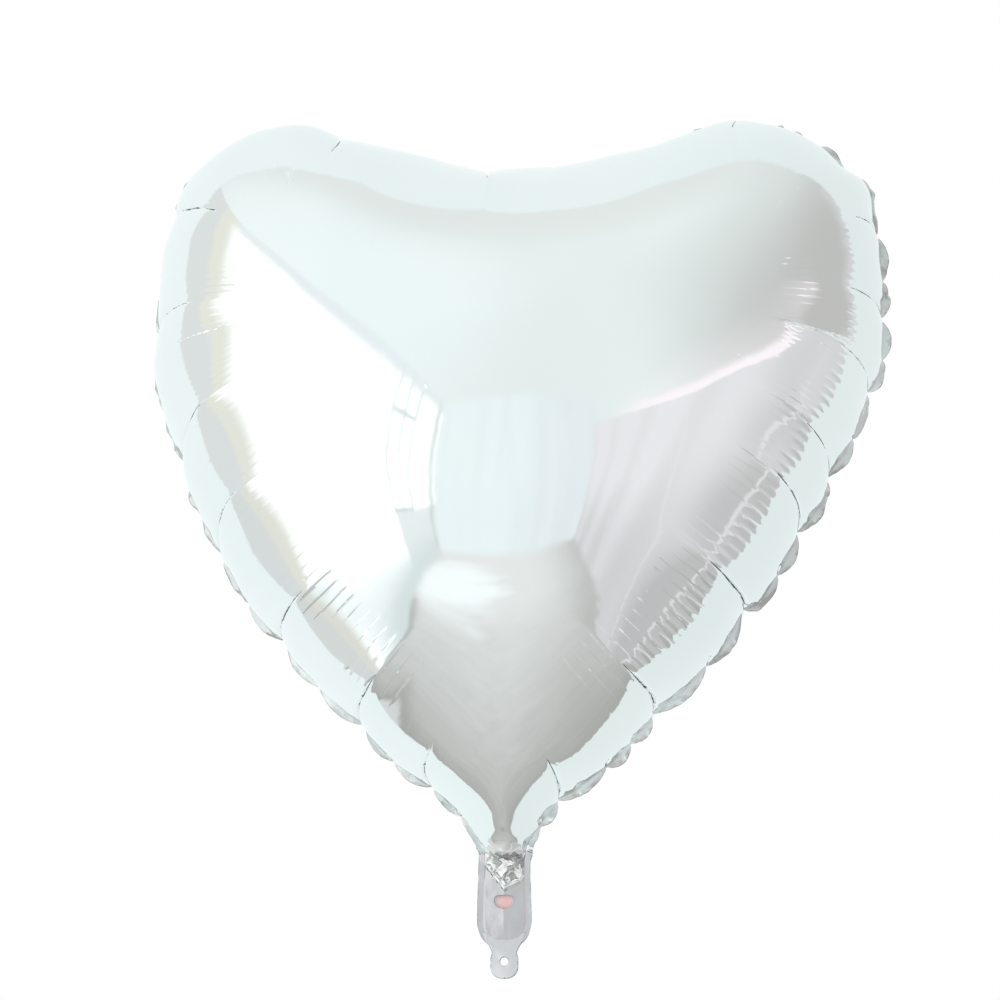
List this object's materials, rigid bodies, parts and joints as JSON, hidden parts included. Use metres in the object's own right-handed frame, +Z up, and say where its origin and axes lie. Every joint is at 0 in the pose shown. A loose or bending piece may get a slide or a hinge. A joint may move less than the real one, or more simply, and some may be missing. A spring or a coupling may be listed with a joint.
{
  "type": "heart-shaped foil balloon",
  "caption": "Inflated heart-shaped silver foil balloon with a welded, puckered edge, a flat inflation tail with a self-sealing valve, and a tie tab.",
  "frame": {"origin": "centre of the punched tie hole in the tab at the end of the tail, in the middle plane of the film", "axes": "+Z up, from the tie hole through the tail to the cleft of the heart; the front of the heart faces -Y; +X to the right seen from the front"},
  "size_m": [0.386, 0.226, 0.4401],
  "materials": {
    "silver_foil": "polished",
    "welded_foil": "gloss",
    "tail_foil": "gloss",
    "clear_valve_film": "gloss",
    "release_print": "matte"
  },
  "bodies": {
    "heart": {"front_panel": "silver_foil", "rear_panel": "silver_foil", "seam_margin": "welded_foil"},
    "tail": {"tail_front_film": "tail_foil", "tail_rear_film": "tail_foil", "tail_welds": "welded_foil", "valve_front_film": "clear_valve_film", "valve_rear_film": "clear_valve_film", "valve_release_print": "release_print"},
    "tab": {"tie_tab": "welded_foil"},
    "front_lip": {"valve_front_lip": "clear_valve_film"},
    "rear_lip": {"valve_rear_lip": "clear_valve_film"}
  },
  "joints": [
    {"name": "neck_fold", "type": "hinge", "parent": "heart", "child": "tail", "pos_m": [0, 0, 0.0556], "axis": [1, 0, 0], "range_deg": [-90, 90]},
    {"name": "tab_fold", "type": "hinge", "parent": "tail", "child": "tab", "pos_m": [0, 0, 0.0036], "axis": [1, 0, 0], "range_deg": [-90, 90]},
    {"name": "front_lip_opening", "type": "hinge", "parent": "heart", "child": "front_lip", "pos_m": [0, -0.0004, 0.0586], "axis": [1, 0, 0], "range_deg": [0, 12], "stiffness_Nm_per_rad": 0.0005, "springref_deg": -11.46},
    {"name": "rear_lip_opening", "type": "hinge", "parent": "heart", "child": "rear_lip", "pos_m": [0, 0.0004, 0.0586], "axis": [-1, 0, 0], "range_deg": [0, 12], "stiffness_Nm_per_rad": 0.0005, "springref_deg": -11.46}
  ],
  "couplings": [
    {"joint": "rear_lip_opening", "follows": "front_lip_opening", "ratio": 1}
  ]
}
